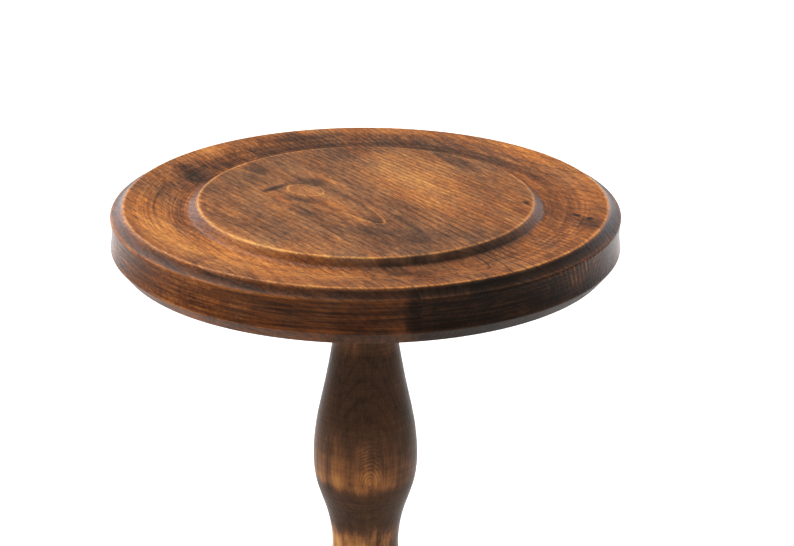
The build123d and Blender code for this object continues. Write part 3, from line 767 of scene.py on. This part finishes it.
def make_top():
    outline = top_outline()
    cuts = {
        "front": [(FRONT_SEAM, -1)],
        "middle": [(FRONT_SEAM, 1), (BACK_SEAM, -1)],
        "back": [(BACK_SEAM, 1)],
    }
    materials = {
        "front": board(
            "board_front_wood",
            3.0,
            (-0.150, 0.060),
            patches=FRONT_PATCHES,
            ripple_depth=0.34,
            end_darkness=0.14,
        ),
        "middle": board("board_middle_wood", 0.0, (-0.0185, 0.024), EYES, MIDDLE_PATCHES),
        "back": board("board_back_wood", 7.0, (0.175, 0.070), patches=BACK_PATCHES, ribs=0.5),
    }
    for place, sides in cuts.items():
        mesh = bmesh.new()
        lathe(mesh, outline, LATHE_SIDES)
        for face in mesh.faces:
            face.smooth = True
        for y, keep in sides:
            saw(mesh, y, keep)
        node = f"top_board_{place}"
        add_piece(f"turned_{node}", mesh, materials[place], "top", [node])


# --- Materials for the CAD pieces that stay ------------------------------------------------------


def dress(names, material):
    for name in names:
        data = nodes[name].data
        data.materials.clear()
        data.materials.append(material)


def dress_nodes():
    brass_material, steel_material = brass(), steel()
    dress(["column"], column_wood())
    for number in range(3):
        leg = f"leg_{number + 1}"
        angle = math.radians(90.0 + 120.0 * number)
        dress([leg], leg_wood(f"{leg}_wood", angle, 2.0 + 3.0 * number))
    dress(["batten_left"], joinery_wood("batten_left_wood", (0, 1, 0), 1.0))
    dress(["batten_right"], joinery_wood("batten_right_wood", (0, 1, 0), 4.0))
    dress(["tilt_block"], joinery_wood("tilt_block_wood", (1, 0, 0), 6.0))
    dress(["tenon_wedge"], joinery_wood("tenon_wedge_wood", (0, 0, 1), 9.0, base=0.62))
    dress(["latch_body", "latch_bolt", "latch_knob", "latch_screws"], brass_material)
    dress(["keeper_plate", "keeper_screws"], brass_material)
    for side in ("left", "right"):
        names = [f"pivot_pin_{side}", f"pivot_washer_{side}", f"batten_screws_{side}"]
        dress(names, steel_material)
    dress(["spider_plate", "spider_screws"], iron())
    dress([f"felt_glide_{number + 1}" for number in range(3)], felt())


# --- Floor and lights ----------------------------------------------------------------------------

FLOOR_RADIUS = 12.0
SUN_COLOUR = (1.0, 0.97, 0.93)
SOFTBOX_COLOUR = (0.86, 0.93, 1.0)
SOFTBOX_SIZE = (1.2, 1.4)
SOFTBOX_ELEVATION, SOFTBOX_DISTANCE = 24.0, 2.4
SOFTBOX_AIM = (0.0, 0.0, 0.5)


def make_stage():
    mesh = bmesh.new()
    bmesh.ops.create_circle(mesh, cap_ends=True, radius=FLOOR_RADIUS, segments=96)
    data = bpy.data.meshes.new("floor")
    mesh.to_mesh(data)
    mesh.free()
    floor = bpy.data.objects.new("floor", data)
    bpy.context.scene.collection.objects.link(floor)
    s = Surface("floor_white")
    speckle = s.noise(s.x * 7.0, s.y * 7.0, s.z * 7.0)
    s.paint(0.5 + speckle, [(0.0, 0.90, 0.90, 0.90), (1.0, 0.94, 0.94, 0.94)])
    s.set(Roughness=0.85, Specular_IOR_Level=0.2)
    data.materials.append(s.material)


def toward(azimuth, elevation, distance):
    """A point in that direction from the foot of the table, in degrees and metres."""
    a, e = math.radians(azimuth), math.radians(elevation)
    level = distance * math.cos(e)
    return Vector((level * math.sin(a), -level * math.cos(a), distance * math.sin(e)))


def softbox(name, azimuth, watts):
    data = bpy.data.lights.new(name, "AREA")
    data.shape = "RECTANGLE"
    data.size, data.size_y = SOFTBOX_SIZE
    data.energy = watts
    data.color = SOFTBOX_COLOUR
    light = bpy.data.objects.new(name, data)
    place = toward(azimuth, SOFTBOX_ELEVATION, SOFTBOX_DISTANCE)
    light.location = place
    light.rotation_euler = (Vector(SOFTBOX_AIM) - place).to_track_quat("-Z", "Y").to_euler()
    bpy.context.scene.collection.objects.link(light)


def make_world():
    """Light from all round, most from above, and a white background where the camera sees it."""
    world = bpy.data.worlds.new("studio")
    bpy.context.scene.world = world
    world.use_nodes = True
    tree = world.node_tree
    place = tree.nodes.new("ShaderNodeTexCoord")
    split = tree.nodes.new("ShaderNodeSeparateXYZ")
    tree.links.new(place.outputs["Generated"], split.inputs[0])
    height = Field(tree, split.outputs[2])
    soft = tree.nodes["Background"]
    soft.inputs["Color"].default_value = (1.0, 0.985, 0.965, 1.0)
    feed(soft.inputs["Strength"], height.smooth(0.25, 0.90) * 0.75 + 0.32)
    white = tree.nodes.new("ShaderNodeBackground")
    white.inputs["Color"].default_value = (1.0, 1.0, 1.0, 1.0)
    mix = tree.nodes.new("ShaderNodeMixShader")
    seen = tree.nodes.new("ShaderNodeLightPath")
    tree.links.new(seen.outputs["Is Camera Ray"], mix.inputs[0])
    tree.links.new(soft.outputs[0], mix.inputs[1])
    tree.links.new(white.outputs[0], mix.inputs[2])
    tree.links.new(mix.outputs[0], tree.nodes["World Output"].inputs[0])


def make_lights():
    data = bpy.data.lights.new("overhead", "SUN")
    data.energy = 3.0
    data.color = SUN_COLOUR
    data.angle = math.radians(40.0)
    light = bpy.data.objects.new("overhead", data)
    light.rotation_euler = toward(-85.0, 48.0, 1.0).to_track_quat("Z", "Y").to_euler()
    bpy.context.scene.collection.objects.link(light)
    softbox("side_left", -86.0, 20.0)
    softbox("side_right", 206.0, 14.0)


make_camera()
make_world()
make_lights()
make_stage()
make_top()
dress_nodes()
bpy.context.scene.view_settings.view_transform = "Standard"
